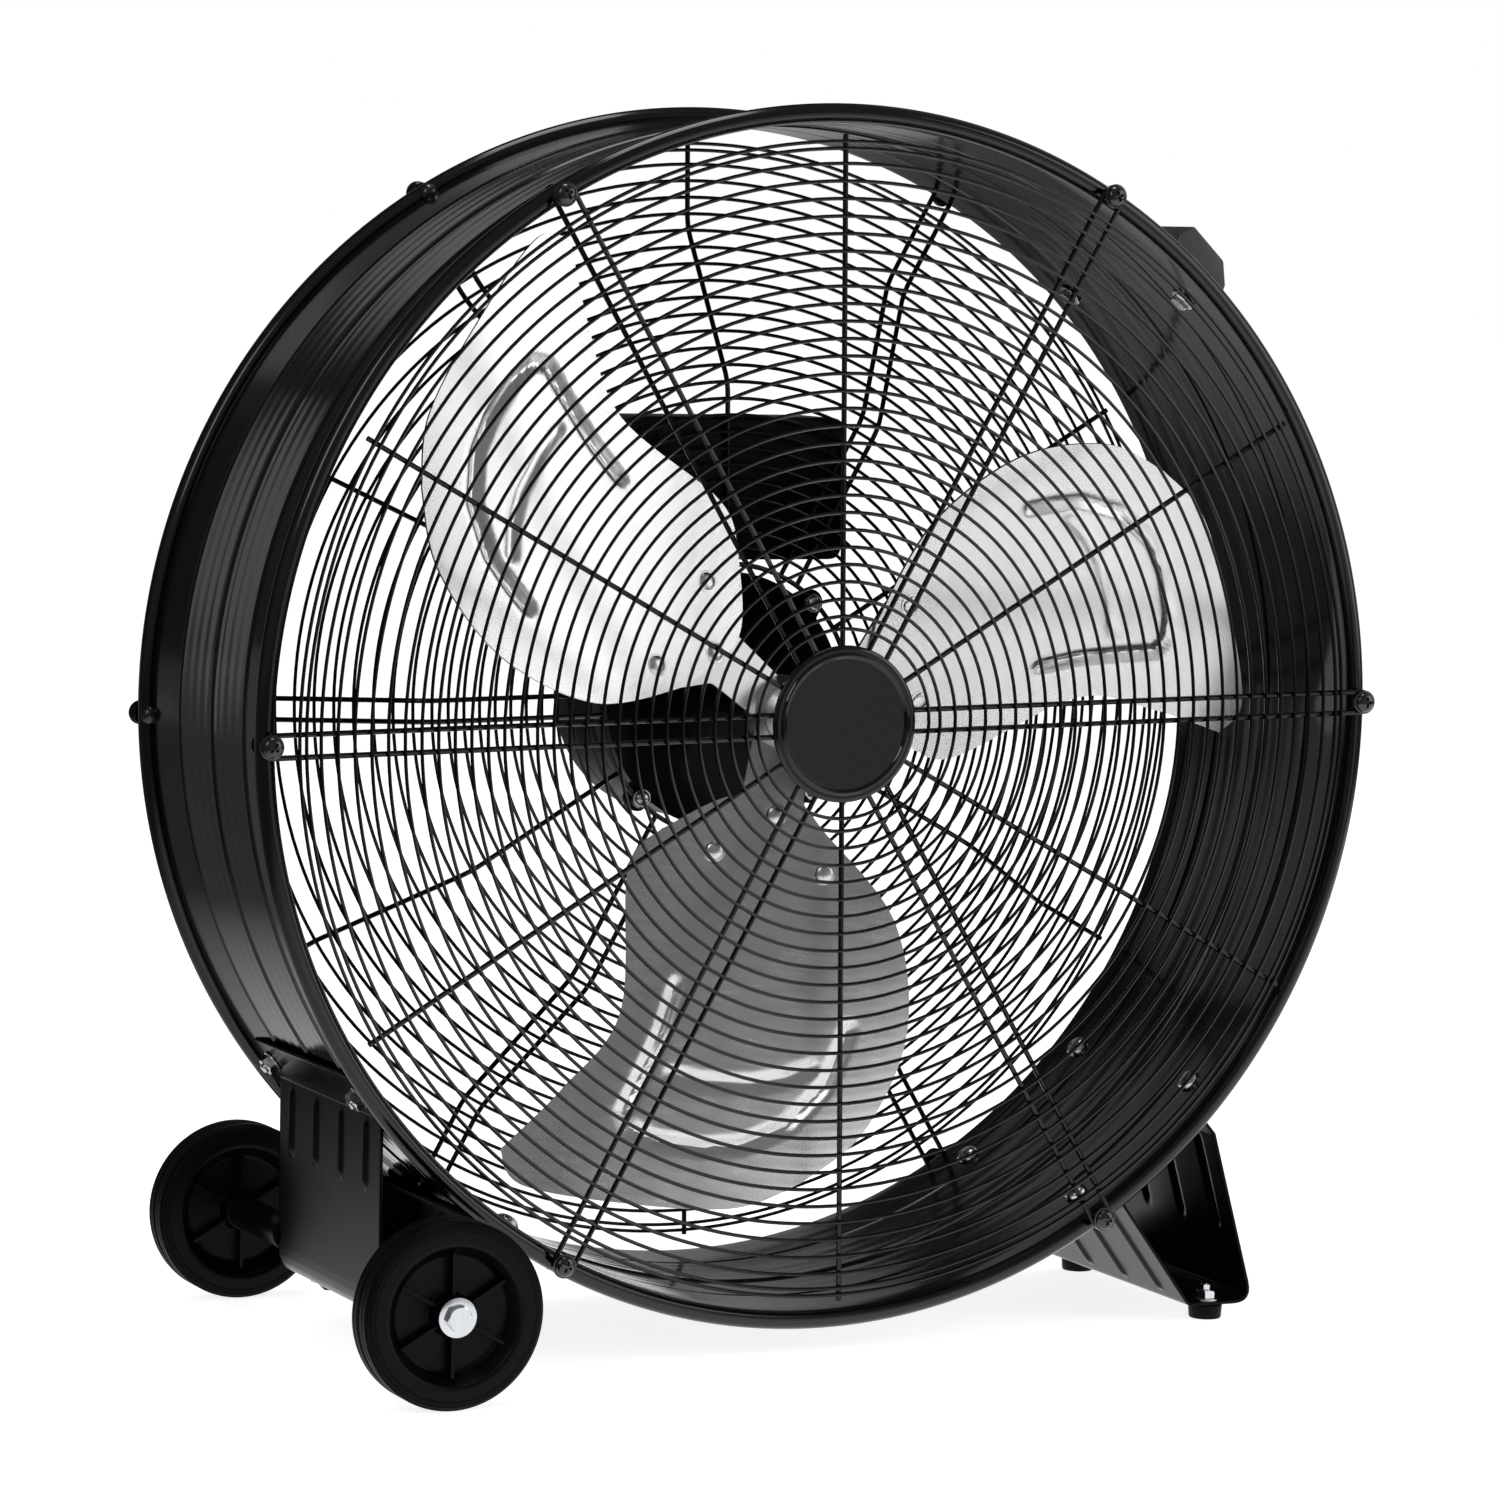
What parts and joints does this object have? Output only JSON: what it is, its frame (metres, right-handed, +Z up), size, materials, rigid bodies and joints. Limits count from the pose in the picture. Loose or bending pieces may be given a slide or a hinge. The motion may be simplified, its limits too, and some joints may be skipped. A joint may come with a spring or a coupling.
{
  "type": "drum fan",
  "caption": "Free-standing black drum fan: a short steel drum with wire guards front and rear, aluminium blades on a rear motor, a carrying handle, two wheels and two rubber feet.",
  "frame": {"origin": "on the floor, under the middle of the drum: bottom centre of the bounding box", "axes": "+Y to the rear along the drum axis (the front guard faces -Y), +X to the right seen from the front, towards the feet, +Z up"},
  "size_m": [0.6826, 0.3608, 0.693],
  "materials": {
    "powder_coat": "black powder coat, satin",
    "guard_coat": "black powder coat on steel wire, satin",
    "gloss_plastic": "gloss black moulded plastic",
    "aluminium": "bare pressed sheet, fine brushed",
    "steel": "ground steel",
    "cast_bell": "black painted casting",
    "plastic": "black moulded plastic, matt",
    "rubber": "black moulded rubber, matt",
    "zinc": "bright zinc plate"
  },
  "bodies": {
    "frame": {"front_guard": "guard_coat", "rear_guard": "guard_coat", "drum_shell": "powder_coat", "motor_front_bell": "cast_bell", "motor_plate": "powder_coat", "motor_rear_bell": "cast_bell", "foot_bracket": "powder_coat", "axle": "powder_coat", "wheel_bracket": "powder_coat", "hub_cap": "gloss_plastic", "switch_box": "plastic", "cord_gland": "plastic", "switch_box_lid": "plastic", "motor_can": "powder_coat", "front_bearing": "steel", "rear_bearing": "steel", "axle_clamp": "powder_coat", "handle_grip": "plastic", "foot_front": "rubber", "foot_rear": "rubber", "wheel_bracket_bolt_1": "zinc", "wheel_bracket_bolt_2": "zinc", "wheel_bracket_bolt_3": "zinc", "wheel_bracket_bolt_4": "zinc", "foot_bracket_bolt_1": "zinc", "foot_bracket_bolt_2": "zinc", "foot_bracket_bolt_3": "zinc", "foot_bracket_bolt_4": "zinc", "axle_bolt_front": "zinc", "foot_bolt_front": "zinc", "axle_bolt_rear": "zinc", "foot_bolt_rear": "zinc", "front_guard_screw_1": "guard_coat", "rear_guard_screw_1": "guard_coat", "front_guard_screw_2": "guard_coat", "rear_guard_screw_2": "guard_coat", "front_guard_screw_3": "guard_coat", "rear_guard_screw_3": "guard_coat", "front_guard_screw_4": "guard_coat", "rear_guard_screw_4": "guard_coat", "front_guard_screw_5": "guard_coat", "rear_guard_screw_5": "guard_coat", "front_guard_screw_6": "guard_coat", "rear_guard_screw_6": "guard_coat", "motor_screw_1": "zinc", "motor_screw_2": "zinc", "motor_screw_3": "zinc", "motor_screw_4": "zinc", "handle_bolt_front": "zinc", "handle_bolt_rear": "zinc"},
    "impeller": {"blade_1": "aluminium", "blade_2": "aluminium", "blade_3": "aluminium", "blade_spider": "zinc", "motor_shaft": "steel"},
    "wheel_front": {"wheel_front": "plastic", "tyre_front": "rubber"},
    "wheel_rear": {"wheel_rear": "plastic", "tyre_rear": "rubber"},
    "speed_knob": {"speed_knob": "plastic"}
  },
  "joints": [
    {"name": "fan_spin", "type": "hinge", "parent": "frame", "child": "impeller", "pos_m": [0, 0, 0.3532], "axis": [0, 1, 0], "continuous": true},
    {"name": "wheel_front_spin", "type": "hinge", "parent": "frame", "child": "wheel_front", "pos_m": [-0.252, -0.16225, 0.0508], "axis": [0, 1, 0], "continuous": true},
    {"name": "wheel_rear_spin", "type": "hinge", "parent": "frame", "child": "wheel_rear", "pos_m": [-0.252, 0.16225, 0.0508], "axis": [0, 1, 0], "continuous": true},
    {"name": "speed_knob_turn", "type": "hinge", "parent": "frame", "child": "speed_knob", "pos_m": [0.01, 0.1, 0.4735], "axis": [0, 1, 0], "range_deg": [-135, 0]}
  ]
}
